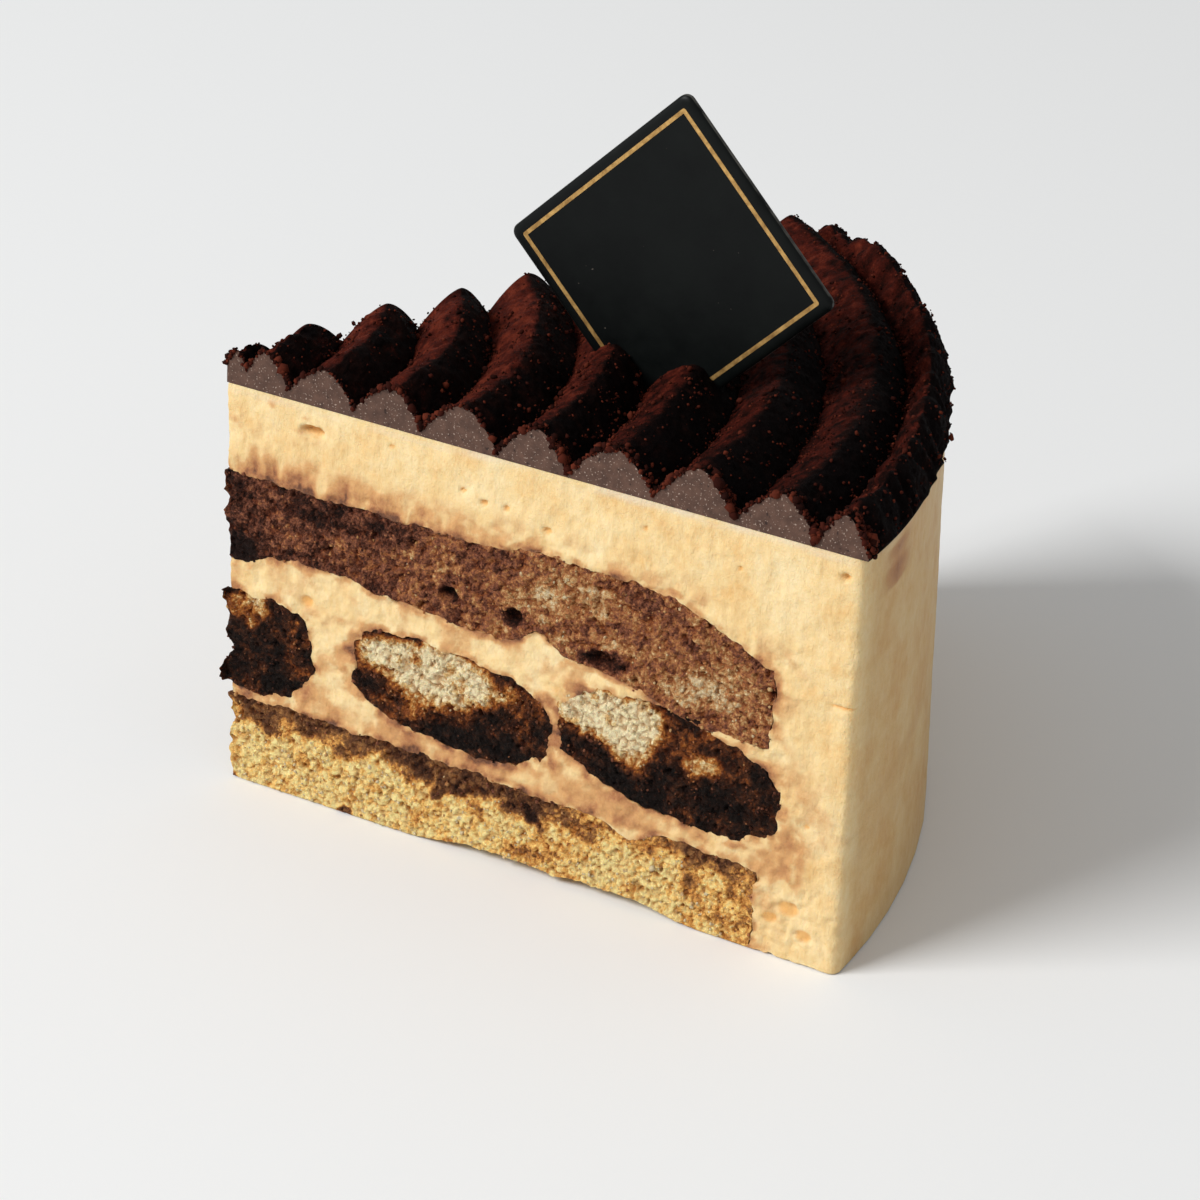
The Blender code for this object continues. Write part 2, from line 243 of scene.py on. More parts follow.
class Wire:
    """An output of a shader node. Arithmetic on it makes the nodes that work it out."""

    def __init__(self, tree, socket=None):
        self.tree, self.socket = tree, socket

    def feed(self, target, value):
        """Link a wire to an input, or set the input to a plain value."""
        if isinstance(value, Wire):
            self.tree.links.new(value.socket, target)
        elif isinstance(value, tuple) and target.type == "RGBA":
            target.default_value = (*value[:3], 1.0)
        else:
            target.default_value = value

    def make(self, kind, inputs, out=0, **settings):
        """Any node: its settings first, then its inputs by name or number."""
        node = self.tree.nodes.new(kind)
        for key, value in settings.items():
            setattr(node, key, value)
        for key, value in inputs.items():
            self.feed(node.inputs[key], value)
        return Wire(self.tree, node.outputs[out])

    def reckon(self, operation, first, second, clamp=False):
        """Maths on numbers, or Vector Math when either side is a colour or a vector."""
        def wide(value):
            return isinstance(value, tuple) or (isinstance(value, Wire) and value.socket.type != "VALUE")

        if not (wide(first) or wide(second)):
            return self.make("ShaderNodeMath", {0: first, 1: second}, operation=operation, use_clamp=clamp)
        spread = [value if isinstance(value, (Wire, tuple)) else (value,) * 3 for value in (first, second)]
        return self.make("ShaderNodeVectorMath", {0: spread[0], 1: spread[1]}, operation=operation)

    def __add__(self, other): return self.reckon("ADD", self, other)
    def __radd__(self, other): return self.reckon("ADD", other, self)
    def __sub__(self, other): return self.reckon("SUBTRACT", self, other)
    def __rsub__(self, other): return self.reckon("SUBTRACT", other, self)
    def __mul__(self, other): return self.reckon("MULTIPLY", self, other)
    def __rmul__(self, other): return self.reckon("MULTIPLY", other, self)
    def __truediv__(self, other): return self.reckon("DIVIDE", self, other)
    def __rtruediv__(self, other): return self.reckon("DIVIDE", other, self)

    def rise(self, start, end):
        """0 at start, 1 at end, clamped, and straight between; start may be the larger."""
        return self.reckon("MULTIPLY", self - start, 1.0 / (end - start), clamp=True)

    def mix(self, first, second, share):
        """The first colour where share is 0, the second where it is 1."""
        return self.make("ShaderNodeMix", {0: share, 6: first, 7: second}, out=2, data_type="RGBA")

    def place(self, *stretch):
        """Position on the object in millimetres, divided by a size on each axis."""
        spot = self.make("ShaderNodeTexCoord", {}, out="Object")
        return spot * tuple(1000.0 / size for size in stretch)

    def grain(self, size, detail=3.0, roughness=0.6, stretch=(1.0, 1.0, 1.0)):
        """Noise from 0 to 1 whose lumps are about that many millimetres across."""
        where = self.place(*(size * part for part in stretch))
        return self.make("ShaderNodeTexNoise", {"Vector": where, "Scale": 1.0, "Detail": detail,
                                                "Roughness": roughness}, out=0, noise_dimensions="3D")

    def stored(self, name):
        """A number kept at the points of the mesh."""
        return self.make("ShaderNodeAttribute", {}, out="Fac", attribute_name=name)

    def steps(self, value, stops):
        """Colour along a scale of (value, colour) stops, straight between neighbours."""
        colour = stops[0][1]
        for (before, _), (after, following) in zip(stops, stops[1:]):
            colour = self.mix(colour, following, value.rise(before, after))
        return colour

    def bumps(self, height, distance, strength=1.0):
        """A normal tilted by a height, which at 1 stands for that many millimetres."""
        return self.make("ShaderNodeBump", {
            "Height": height, "Distance": distance * 0.001, "Strength": strength})


def shade(red, green, blue):
    """Linear colour of a display colour from 0 to 255: the sRGB curve undone."""
    shown = np.array([red, green, blue])
    curved = ((shown / 255.0 + 0.055) / 1.055) ** 2.4
    return tuple(float(v) for v in np.where(shown <= 10.31, shown / 3294.6, curved))


def surface(name, recipe):
    """A Principled material; recipe(wire) gives the value of each socket that it sets."""
    material = bpy.data.materials.new(name)
    material.use_nodes = True
    shader = material.node_tree.nodes["Principled BSDF"]
    wire = Wire(material.node_tree)
    for socket, value in recipe(wire).items():
        wire.feed(shader.inputs[socket], value)
    return material


def oval(x, z, middle_x, middle_z, half_x, half_z, turn=0.0):
    """1 in the middle of a tilted oval, falling evenly to 0 at one and a half times its size."""
    a = math.radians(turn)
    u = (x - middle_x) * math.cos(a) + (z - middle_z) * math.sin(a)
    v = -(x - middle_x) * math.sin(a) + (z - middle_z) * math.cos(a)
    return smooth_step(np.hypot(u / half_x, v / half_z), 1.4, 0.6)


def flat(x, z, y=0.0):
    """Section points as rows for the noise, all at one y."""
    return np.stack([np.ravel(x), np.full(np.size(x), y), np.ravel(z)], axis=1)


def ragged(x, z, size, seed):
    """Noise over the section, in the shape of x."""
    return fractal(flat(x, z), size, 3, seed).reshape(np.shape(x))


def front_tip(x, z):
    """Distance behind the blunt tip."""
    return x - tip_x(z) - TIP_WIDTH


def top_sponge(x, z):
    """Above 0 in the upper sponge: between a floor and a roof curve, with crumbly edges."""
    roof = (49.6 + 1.4 * np.exp(-((x - 57.0) / 13.0) ** 2) - 4.6 * smooth_step(x, 69.0, SPONGE_END)
            - 1.2 * smooth_step(x, SPONGE_END - 6.0, SPONGE_END + 0.5) ** 2)
    floor = (37.4 + 1.0 * np.exp(-((x - 14.0) / 8.0) ** 2) + 2.6 * np.exp(-((x - 50.5) / 3.0) ** 2)
             - 1.4 * smooth_step(x, 26.0, 42.0) - 4.4 * smooth_step(x, 58.0, 79.0)
             - 1.9 * np.exp(-((x - 1.0) / 3.0) ** 2))
    ends = np.minimum(SPONGE_END + 0.5 - x, front_tip(x, z) + 0.4)
    edge = np.minimum(np.minimum(roof - z, z - floor), ends)
    return edge + 0.65 * ragged(x, z, 3.4, 11) + 0.30 * ragged(x, z, 1.3, 12)


def bottom_sponge(x, z):
    """Above 0 in the lower sponge, whose underside is lifted a little in the middle."""
    roof = (13.9 - 1.0 * smooth_step(x, 28.0, 55.0) - 1.8 * np.exp(-((x - 66.5) / 3.2) ** 2)
            - 1.0 * smooth_step(x, SPONGE_END - 4.0, SPONGE_END) ** 2)
    floor = 1.3 * smooth_step(x, 30.0, 42.0) * smooth_step(x, 80.0, 66.0)
    edge = np.minimum(np.minimum(roof - z, SPONGE_END - x), front_tip(x, z) + 0.3)
    crumbly = edge + 0.5 * ragged(x, z, 3.0, 21) + 0.25 * ragged(x, z, 1.2, 22)
    return np.minimum(crumbly, z - np.maximum(floor * (1.0 + 0.7 * ragged(x, z, 5.0, 23)), 0.0))


# Each ladyfinger: middle along the front cut, height, half width, half thickness, tilt in degrees
FINGERS = ((3.0, 23.4, 10.2, 7.2, -4.0), (36.8, 24.2, 15.5, 6.9, -6.0), (72.0, 24.6, 16.4, 7.5, -9.0))


def ladyfinger(number):
    """Above 0 in a ladyfinger's section: an oval squared off to the power 2.5, tilted and crumbly."""
    middle_x, middle_z, half_x, half_z, tilt = FINGERS[number]

    def inside(x, z):
        a = math.radians(tilt)
        u = ((x - middle_x) * math.cos(a) + (z - middle_z) * math.sin(a)) / half_x
        v = (-(x - middle_x) * math.sin(a) + (z - middle_z) * math.cos(a)) / half_z
        reach = (np.abs(u) ** 2.5 + np.abs(v) ** 2.5 + 1e-9) ** 0.4
        edge = np.minimum((1.0 - reach) * half_z, front_tip(x, z) + 0.2)
        return edge + 0.55 + 0.9 * ragged(x, z, 3.6, 31 + number) + 0.30 * ragged(x, z, 1.3, 41 + number)

    return inside


fillings = [top_sponge, bottom_sponge] + [ladyfinger(number) for number in range(3)]


def cream_section(x, z):
    """Above 0 in the cream: inside the tip, the rim and the top, and outside every filling."""
    rim = BASE_RADIUS + CAKE_X - WALL_TAPER * z / CREAM_TOP
    edge = np.minimum(np.minimum(front_tip(x, z), rim - x), np.minimum(CREAM_TOP - z, z))
    edge = np.minimum(edge, np.maximum(z - 6.0, x - SPONGE_END + 0.3))
    for filling in fillings:
        edge = np.minimum(edge, -filling(x, z))
    return edge


# Small features of the front cut: middle along it, height, half width, half height, depth
AIR_HOLES = ((12.8, 59.4, 1.7, 0.7, 1.6), (95.8, 60.2, 0.6, 0.5, 0.8), (41.0, 56.0, 0.6, 0.5, 0.6),
             (44.5, 56.1, 0.5, 0.5, 0.5), (51.0, 54.5, 0.7, 0.5, 0.6), (37.5, 57.0, 0.5, 0.4, 0.5),
             (12.5, 32.5, 1.0, 0.9, 0.5), (92.0, 8.0, 1.6, 1.1, 0.4), (94.6, 4.5, 1.2, 1.0, 0.4),
             (89.2, 5.8, 1.1, 0.8, 0.35), (97.0, 41.0, 1.8, 0.25, 0.35), (66.0, 59.0, 0.4, 0.4, 0.4),
             (80.5, 57.2, 0.4, 0.35, 0.4), (26.0, 60.6, 0.5, 0.3, 0.3), (93.5, 21.5, 0.5, 0.4, 0.4))

cream = carried(cream_section, (-2.0, 100.4, 0.0, CREAM_TOP), CREAM_CELL, CREAM_STEPS)
x, z, c, spots = cream["x"], cream["z"], cream["c"], cream["points"]
streaks = fractal(spots, (0.9, 0.9, 5.0), 3, 51)
lumps = fractal(spots, 3.2, 4, 52)
bubble, _ = nearest_cell(spots, 1.9, 53)
bubbly = oval(x, z, 92.5, 7.0, 7.0, 6.0) * (c < 0.01)
near_filling = smooth_step(np.max([filling(x, z) for filling in fillings], axis=0), -7.0, -0.5) * (c < 0.01)
height = 0.12 * streaks + 0.24 * lumps + 0.20 * fractal(spots, 1.0, 2, 54) * (0.5 + bubbly + near_filling)
height -= 0.35 * bubbly * smooth_step(bubble, 0.42, 0.15)
hole = np.zeros(len(x))
for middle_x, middle_z, half_x, half_z, depth in AIR_HOLES:
    dip = oval(x, z, middle_x, middle_z, half_x, half_z) * (c < 0.01)
    height -= depth * dip
    hole = np.maximum(hole, dip)
rim_gap = BASE_RADIUS + CAKE_X - WALL_TAPER * z / CREAM_TOP - x
near_rim = np.clip(1.0 - rim_gap / 1.6, 0.0, 1.0)
touching = np.max([filling(x, z) for filling in fillings], axis=0)     # 0 at a filling, falling with distance
under_fingers = smooth_step(z, 18.5, 16.0) * smooth_step(z, 12.0, 13.5) * smooth_step(x, 8.0, 14.0)
under_fingers *= smooth_step(x, 92.0, 84.0) * (0.55 + 0.45 * noise(spots, (6.0, 6.0, 3.0), 56))
run_out = smooth_step(z, 56.5, 50.0) * smooth_step(z, 40.0, 48.0) * smooth_step(x, 60.0, 6.0)
run_out *= 0.5 + 0.8 * fractal(spots, (1.1, 1.1, 6.0), 3, 57)
stain = 0.62 * smooth_step(touching, -1.5, 0.0) * (0.5 + 1.3 * fractal(spots, 1.6, 4, 58))
stain += 0.30 * smooth_step(touching, -8.0, -0.5) * smooth_step(fractal(spots, 2.6, 4, 62), -0.3, 0.4)
stain = np.clip(stain + 0.8 * run_out + 0.5 * under_fingers, 0.0, 1.0)
foot_smear = oval(x, z, 91.0, 15.5, 3.0, 6.0) * smooth_step(fractal(spots, 2.6, 3, 59), -0.3, 0.5)
tip_smear = oval(x, z, 6.0, 60.0, 10.0, 4.0) * smooth_step(fractal(spots, 2.0, 3, 60), 0.0, 0.6)
stain = np.maximum(stain, np.maximum(0.55 * foot_smear, 0.30 * tip_smear))
wall = smooth_step(rim_gap, 0.6, 0.1) * (c > 0.0)
height *= 0.1 + 0.9 * smooth_step(CREAM_TOP - z, 0.0, 1.5)
points = spots + cream["normals"] * (height * (1.0 - 0.6 * wall))[:, None]
round_off = np.where(c < 0.01, 1.3 * (1.0 - np.sqrt(1.0 - near_rim ** 2)), 0.0)
points[:, 1] += round_off
points[:, 2] = np.maximum(points[:, 2], 0.0)
arc = np.arctan2(spots[:, 1] - CAKE_Y, spots[:, 0] - CAKE_X) * BASE_RADIUS     # distance round the wall
smear = smooth_step(fractal(np.stack([arc, 0 * arc, z], axis=1), (0.7, 1.0, 7.0), 3, 64), 0.22, 0.5)
stain = np.maximum(stain, 0.8 * wall * smear * smooth_step(arc, 26.0, 6.0) * smooth_step(z, 42.0, 55.0))


def cream_look(w):
    """Warm ivory, yellower and whiter in soft patches, tan where coffee has run in, with painted shade on the
    rim wall and in the air holes.
    """
    cloud = w.grain(7.0, 4.0)
    fine = w.grain(0.8, 4.0, 0.65, (1.0, 1.0, 2.2))
    plain = w.steps(cloud + (fine - 0.5) * 0.5, [
        (0.25, shade(238, 215, 166)), (0.5, shade(231, 200, 143)), (0.75, shade(222, 178, 114))])
    coffee = w.stored("stain") * (0.55 + 0.9 * w.grain(0.7, 4.0, 0.7))
    stained = w.steps(coffee, [(0.05, shade(222, 188, 134)), (0.35, shade(206, 156, 100)),
                               (0.7, shade(166, 110, 68)), (1.0, shade(100, 60, 38))])
    colour = w.mix(plain, stained, coffee.rise(0.04, 0.28))
    # Painted shade: the air holes are coloured darker and warmer inside.
    colour = w.mix(colour, shade(226, 168, 92), w.stored("hole").rise(0.2, 0.9) * 0.8)
    colour = w.mix(colour, shade(222, 206, 184), w.stored("skin") * 0.7)
    dust = (w.grain(0.35, 2.0) + w.grain(2.4, 2.0) * 0.5).rise(0.98, 1.06)
    colour = w.mix(colour, shade(150, 95, 60), dust * 0.35)
    # Painted shade: the rim wall, which faces away from the lamp, is darkened and warmed.
    colour = w.mix(colour, colour * (0.84, 0.76, 0.66), w.stored("wall"))
    relief = w.grain(0.45, 4.0, 0.7, (1.0, 1.0, 1.6)) + w.grain(1.8, 3.0) * 0.8
    return {"Base Color": colour, "Roughness": w.grain(2.0, 3.0) * 0.35 + 0.30,
            "Subsurface Weight": 0.15, "Subsurface Radius": (1.0, 0.6, 0.3), "Subsurface Scale": 0.002,
            "Specular IOR Level": 0.35, "Normal": w.bumps(relief, 0.28, 0.8)}


skin = smooth_step(z, CREAM_TOP - 1.6, CREAM_TOP - 0.5) * (0.4 + 0.6 * noise(spots, (4.0, 4.0, 1.0), 61))
piece = put("cream", {"points": points, "faces": cream["faces"]}, [surface("mascarpone_cream", cream_look)],
            {"stain": stain, "hole": hole, "wall": wall, "skin": np.clip(skin, 0.0, 1.0) * (c < 0.9)},
            sharp=65.0)
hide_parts("cream_body")


# ==== Upper sponge: soaked in coffee ====
# A round of whisked sponge, open and coarse, which has drunk coffee from the tip
# outwards. It tears rather than cuts, so the two cut faces are rough with pores.

CRUMB_STEPS = 8                      # from cut to cut


def crumb_relief(spots, seed, coarse=1.0):
    """Height of torn crumb, how deep in a crevice each point is, and its grain's own number.

    Round grains of two sizes stand on uneven ground, highest at their middles and lowest
    where they meet, and a few open pores go in between.
    """
    bent = spots + 0.45 * np.stack([fractal(spots, 1.0, 2, seed + 6 + k) for k in range(3)], axis=1)
    ground = 0.50 * fractal(spots, 2.6 * coarse, 4, seed)
    big, own_big = nearest_cell(bent, 1.05 * coarse, seed + 10)
    small, own_small = nearest_cell(bent, 0.52, seed + 15)
    pit, own_pit = nearest_cell(bent, 2.3 * coarse, seed + 20)
    pores = smooth_step(pit, 0.12 + 0.26 * own_pit, 0.04) * (own_pit > 0.55)
    grains = 0.95 * (0.5 - big) * (0.3 + own_big) + 0.38 * (0.5 - small) * (0.4 + own_small)
    # The crevice value is used only as the mask for painted shade in the crumb's colour.
    crevice = 0.9 * pores + 0.7 * smooth_step(big, 0.45, 0.85) + 0.4 * smooth_step(small, 0.5, 0.85)
    height = (ground + grains - 0.7 * pores) * coarse
    return height, np.clip(crevice, 0.0, 1.0), 0.6 * own_big + 0.4 * own_small


def crumb_look(stops, grit=0.34, gloss=(0.35, 0.45)):
    """Crumb coloured by how much coffee it holds, with painted shade in its pores and crevices and painted
    highlights on random specks.
    """
    def recipe(w):
        held = w.stored("soak") + (w.grain(0.42, 4.0, 0.75) - 0.5) * grit * 2.6
        held = held + (w.grain(1.6, 3.0, 0.6) - 0.5) * grit
        colour = w.steps(held, stops)
        # Painted shade: pores and crevices are darkened and reddened.
        colour = w.mix(colour, colour * (0.50, 0.30, 0.18), w.stored("pore"))
        # Painted highlight: random specks are brightened to 2.4 times their colour, standing in for lit crumb
        # grains.
        colour = w.mix(colour, colour * 2.4 + 0.03, w.grain(0.24, 2.0, 0.8).rise(0.60, 0.72) * 0.7)
        relief = w.grain(0.28, 4.0, 0.75) + w.grain(0.7, 3.0) * 0.8
        return {"Base Color": colour, "Roughness": w.grain(0.9, 3.0) * gloss[1] + gloss[0],
                "Subsurface Weight": 0.1, "Subsurface Radius": (1.0, 0.5, 0.25), "Subsurface Scale": 0.001,
                "Specular IOR Level": 0.12, "Normal": w.bumps(relief, 0.45)}

    return recipe


def crumb_piece(name, node, inside, span, seed, soak, material, coarse=1.0, cell=0.21, extra=None):
    """Carry a crumbly section round the cake, roughen it and keep its coffee and its crevice mask for painted
    shade at its points.
    """
    shape = carried(inside, span, cell, CRUMB_STEPS)
    x, z, c, spots = shape["x"], shape["z"], shape["c"], shape["points"]
    height, pore, own = crumb_relief(spots, seed, coarse)
    fringe = smooth_step(inside(x, z), 0.0, 0.5) * 0.7 + 0.3
    height = height * fringe * np.where((c == 0.0) | (c == 1.0), 1.0, 0.2)
    if extra is not None:
        height = height + extra(x, z, c, spots)
    points = spots + shape["normals"] * height[:, None]
    points[:, 2] = np.maximum(points[:, 2], 0.0)
    warp = 1.3 * fractal(spots, 3.0, 3, seed + 30)
    held = np.clip(soak(x + warp, z + warp * 0.6, spots) + 0.42 * (own - 0.5), -0.1, 1.2)
    at_tip = smooth_step(front_tip(x, z), 2.6, 0.0)
    at_tip *= 0.1 + fractal(spots, (9.0, 9.0, 2.4), 3, seed + 33)
    points[:, 0] -= at_tip * 0.9
    points[:, 1] -= at_tip * 0.2
    piece = put(name, {"points": points, "faces": shape["faces"]}, [material],
                {"soak": held, "pore": pore}, sharp=12.0)
    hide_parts(node)
    return {"x": x, "z": z, "c": c, "points": points, "soak": held}


def top_soak(x, z, spots):
    """Coffee in the upper sponge: full at the tip, less towards the rim, with darker and paler patches."""
    held = 0.74 - 0.31 * smooth_step(x, 4.0, 50.0)
    held += 0.26 * fractal(spots, 3.0, 4, 71) + 0.08 * smooth_step(z, 47.0, 50.0)
    for middle_x, middle_z, half_x, half_z, amount in (
            (36.0, 40.5, 1.7, 1.2, 0.45), (46.5, 40.0, 1.6, 1.3, 0.5), (61.0, 37.6, 3.4, 1.5, 0.5),
            (1.0, 38.0, 2.6, 2.4, 0.35), (22.0, 46.5, 9.0, 2.0, 0.15), (56.0, 45.8, 5.5, 2.8, -0.20),
            (50.5, 43.0, 4.0, 2.5, -0.14), (64.0, 40.5, 5.0, 2.0, -0.08), (74.0, 37.5, 6.0, 3.5, -0.20),
            (81.5, 39.0, 4.0, 4.0, -0.18), (13.0, 42.0, 7.0, 2.2, -0.12), (68.0, 44.5, 4.0, 2.5, 0.1)):
        held += amount * oval(x, z, middle_x, middle_z, half_x, half_z)
    return held


def top_blobs(x, z, c, spots):
    """Beads of coffee cream at the roof near the rim, and the hollows where crumb has fallen out."""
    gap, _ = nearest_cell(spots, 2.2, 78)
    lift = 0.9 * oval(x, z, 74.0, 46.4, 4.5, 1.6, -20.0) * smooth_step(gap, 0.65, 0.2)
    for middle_x, middle_z, half_x, half_z in (
            (36.0, 40.5, 1.28, 1.04), (46.5, 40.0, 1.28, 1.12), (61.0, 37.4, 1.92, 1.12)):
        lift = lift - 1.8 * oval(x, z, middle_x, middle_z, half_x, half_z)
    return lift * (c == 0.0)


COFFEE_STOPS = [(0.0, shade(226, 206, 166)), (0.18, shade(206, 162, 108)), (0.36, shade(178, 116, 70)),
                (0.55, shade(136, 84, 62)), (0.75, shade(84, 46, 32)), (1.0, shade(30, 14, 8))]
top = crumb_piece("sponge_upper", "sponge_top", top_sponge, (-2.4, 87.6, 31.0, 52.4), 70,
                  top_soak, surface("coffee_sponge", crumb_look(COFFEE_STOPS, 0.5)), extra=top_blobs)


# ==== Lower sponge: plain ====
# The same whisked sponge, pressed flat under the weight. Coffee from the fingers has
# only reached its upper edge, so below that it is still pale yellow.

def bottom_soak(x, z, spots):
    """Coffee in the lower sponge: a band along the roof, and a browner end near the rim."""
    rough = fractal(spots, 3.2, 4, 81)
    held = 0.07 + 0.60 * smooth_step(z + 2.6 * rough + 1.2 * smooth_step(x, 24.0, 40.0), 8.4, 12.2)
    held += 0.16 * smooth_step(rough, -0.1, 0.4) * smooth_step(x, 20.0, 40.0)
    held = held * (1.0 - 0.45 * smooth_step(x, 50.0, 62.0))
    held += 0.10 * rough + 0.22 * smooth_step(x, 72.0, 78.0) * (0.7 + 0.6 * rough)
    held += 0.20 * oval(x, z, 48.0, 7.0, 8.0, 5.0) * (0.5 + rough)
    for middle_x, half_x in ((1.0, 1.2), (20.0, 0.9)):
        held += 0.6 * oval(x, z, middle_x, 0.2, half_x, 0.9)
    return held


PLAIN_STOPS = [(0.0, shade(255, 232, 160)), (0.2, shade(253, 204, 118)), (0.34, shade(222, 158, 82)),
               (0.5, shade(150, 104, 62)), (0.75, shade(96, 60, 38)), (1.0, shade(42, 23, 15))]
plain_material = surface("plain_sponge", crumb_look(PLAIN_STOPS, 0.26, (0.45, 0.4)))
bottom = crumb_piece("sponge_lower", "sponge_bottom", bottom_sponge,
                     (-1.5, 87.3, 0.0, 14.9), 80, bottom_soak, plain_material, 0.78)


# ==== Ladyfingers: three dry sponge biscuits dipped in coffee ====
# Finger biscuits laid side by side from cut to cut. The coffee has turned their lower
# halves nearly black, while the middle of the second and third is still dry and pale.

FINGER_STOPS = [(0.0, shade(250, 234, 190)), (0.16, shade(226, 190, 128)), (0.32, shade(190, 122, 54)),
                (0.48, shade(138, 76, 34)), (0.68, shade(76, 40, 20)), (0.9, shade(38, 19, 9)),
                (1.1, shade(18, 9, 5))]
finger_material = surface("soaked_ladyfinger", crumb_look(FINGER_STOPS, 0.30, (0.28, 0.45)))
# For each: (middle along the cut, height, half width, half height, change in coffee)
DRY_PATCHES = (
    ((3.0, 29.3, 3.6, 2.2, -0.60), (3.0, 26.2, 1.2, 1.0, -0.45), (6.5, 17.5, 1.5, 1.5, 0.3)),
    ((33.0, 27.2, 12.0, 4.2, -0.92), (28.5, 20.6, 5.5, 2.4, -0.34), (36.5, 22.0, 4.5, 2.2, -0.38),
     (48.5, 27.0, 3.4, 2.8, -0.36), (36.0, 31.0, 14.0, 1.0, -0.10), (42.0, 19.5, 9.0, 3.4, 0.12)),
    ((62.5, 29.3, 7.8, 4.2, -0.92), (59.5, 30.0, 2.6, 2.2, -0.12), (66.5, 24.5, 3.4, 3.2, -0.46),
     (77.5, 26.0, 2.4, 2.0, -0.42), (75.0, 30.0, 6.0, 2.6, -0.22), (72.0, 19.5, 13.0, 4.0, 0.14)))


def finger_soak(number):
    """Coffee in one ladyfinger: nearly full, less its own dry patches."""
    def soak(x, z, spots):
        held = 0.84 + 0.42 * fractal(spots, 2.6, 4, 91 + number)
        for middle_x, middle_z, half_x, half_z, change in DRY_PATCHES[number]:
            held += change * oval(x, z, middle_x, middle_z, half_x, half_z)
        return held

    return soak


fingers = []
for number, (middle_x, middle_z, half_x, half_z, _) in enumerate(FINGERS):
    span = (max(middle_x - half_x - 1.6, -1.6), middle_x + half_x + 1.6,
            middle_z - half_z - 2.6, middle_z + half_z + 2.6)
    fingers.append(crumb_piece(
        f"soaked_finger_{number + 1}", f"ladyfinger_{number + 1}", ladyfinger(number), span,
        110 + 40 * number, finger_soak(number), finger_material, 0.85, 0.2))


# ==== Ganache ropes: dark chocolate ganache under cocoa ====
# Ten rings piped side by side round the cake and dusted thickly with cocoa powder. The
# knife shows bare, smooth ganache at both ends of each; everywhere else is cocoa.

VALLEYS = (29.6, 32.8, 39.8, 50.5, 61.5, 73.7, 84.9, 98.0, 110.2, 122.1, 129.8)
CRESTS = (31.2, 35.9, 45.9, 57.1, 68.2, 79.9, 92.1, 104.6, 117.4, 126.2)
ROPE_BASE = CREAM_TOP + 0.05
ROPE_FEET = (2.6, 2.4, 1.5, 1.1, 0.9, 0.8, 0.8, 0.8, 0.8, 0.8)
ROPE_HEIGHT, TIP_ROPE_HEIGHT = 6.1, 4.9
FLANK_POINTS, BASE_POINTS = 27, 6
ROPE_STEP = 0.42                     # distance from ring to ring along a rope
GROOVE_TURN = np.array([[0.8, 0.6, 0.0], [-0.6, 0.8, 0.0], [0.0, 0.0, 1.0]])   # how the powder's grooves slant


def rope_section(number):
    """(radius, height above the base) round one rope, anticlockwise: flat base, outer flank, inner flank.

    Each flank goes from the foot towards the crest as 1 - (1 - u)^1.6, which rounds the crest.
    """
    inner, crest, outer = VALLEYS[number], CRESTS[number], VALLEYS[number + 1]
    height = TIP_ROPE_HEIGHT if number == 0 else ROPE_HEIGHT
    u = np.linspace(0.0, 1.0, FLANK_POINTS)
    foot = ROPE_FEET[number]
    arch = foot + (height - foot) * (1.0 - (1.0 - u) ** 1.6)
    base = np.stack([np.linspace(inner, outer, BASE_POINTS + 1), np.zeros(BASE_POINTS + 1)], axis=1)
    outside = np.stack([outer + (crest - outer) * u, arch], axis=1)
    inside = np.stack([inner + (crest - inner) * u, arch], axis=1)[::-1]
    return np.concatenate([base, outside, inside[1:]])


def cocoa_look(w):
    """Cocoa powder: deep red-brown velvet, with painted light and shade: rusty red-brown on flanks facing the
    lamp, near black on those turned away and towards the rim.
    """
    powder_and_light = w.stored("cocoa") + (w.grain(0.35, 4.0, 0.75) - 0.5) * 0.9
    colour = w.steps(powder_and_light, [(0.1, shade(6, 1, 1)), (0.45, shade(24, 7, 4)), (0.8, shade(68, 22, 14)),
                             (1.1, shade(104, 42, 27))])
    relief = w.grain(0.22, 4.0, 0.8) + w.grain(0.6, 3.0) * 0.8
    return {"Base Color": colour, "Roughness": w.grain(0.6, 2.0) * 0.2 + 0.72,
            "Specular IOR Level": 0.05, "Normal": w.bumps(relief, 0.25)}


def ganache_look(w):
    """Cut ganache: taupe brown, smooth, with tiny pale specks, and a few pinholes painted as dark dots of shade.
    """
    fleck = w.grain(0.32, 1.0).rise(0.64, 0.70)
    pin = w.grain(0.8, 1.0).rise(0.30, 0.24)
    colour = w.steps(w.grain(1.6, 4.0), [(0.3, shade(68, 47, 38)), (0.7, shade(94, 68, 56))])
    colour = w.mix(colour, shade(190, 170, 155), fleck * 0.6)
    # Painted shade: dark dots stand in for the shade inside pinholes, which have no shape of their own.
    colour = w.mix(colour, shade(30, 18, 15), pin * 0.7)
    return {"Base Color": colour, "Roughness": w.grain(1.5, 3.0) * 0.3 + 0.4,
            "Specular IOR Level": 0.25, "Normal": w.bumps(w.grain(0.5, 3.0), 0.05)}


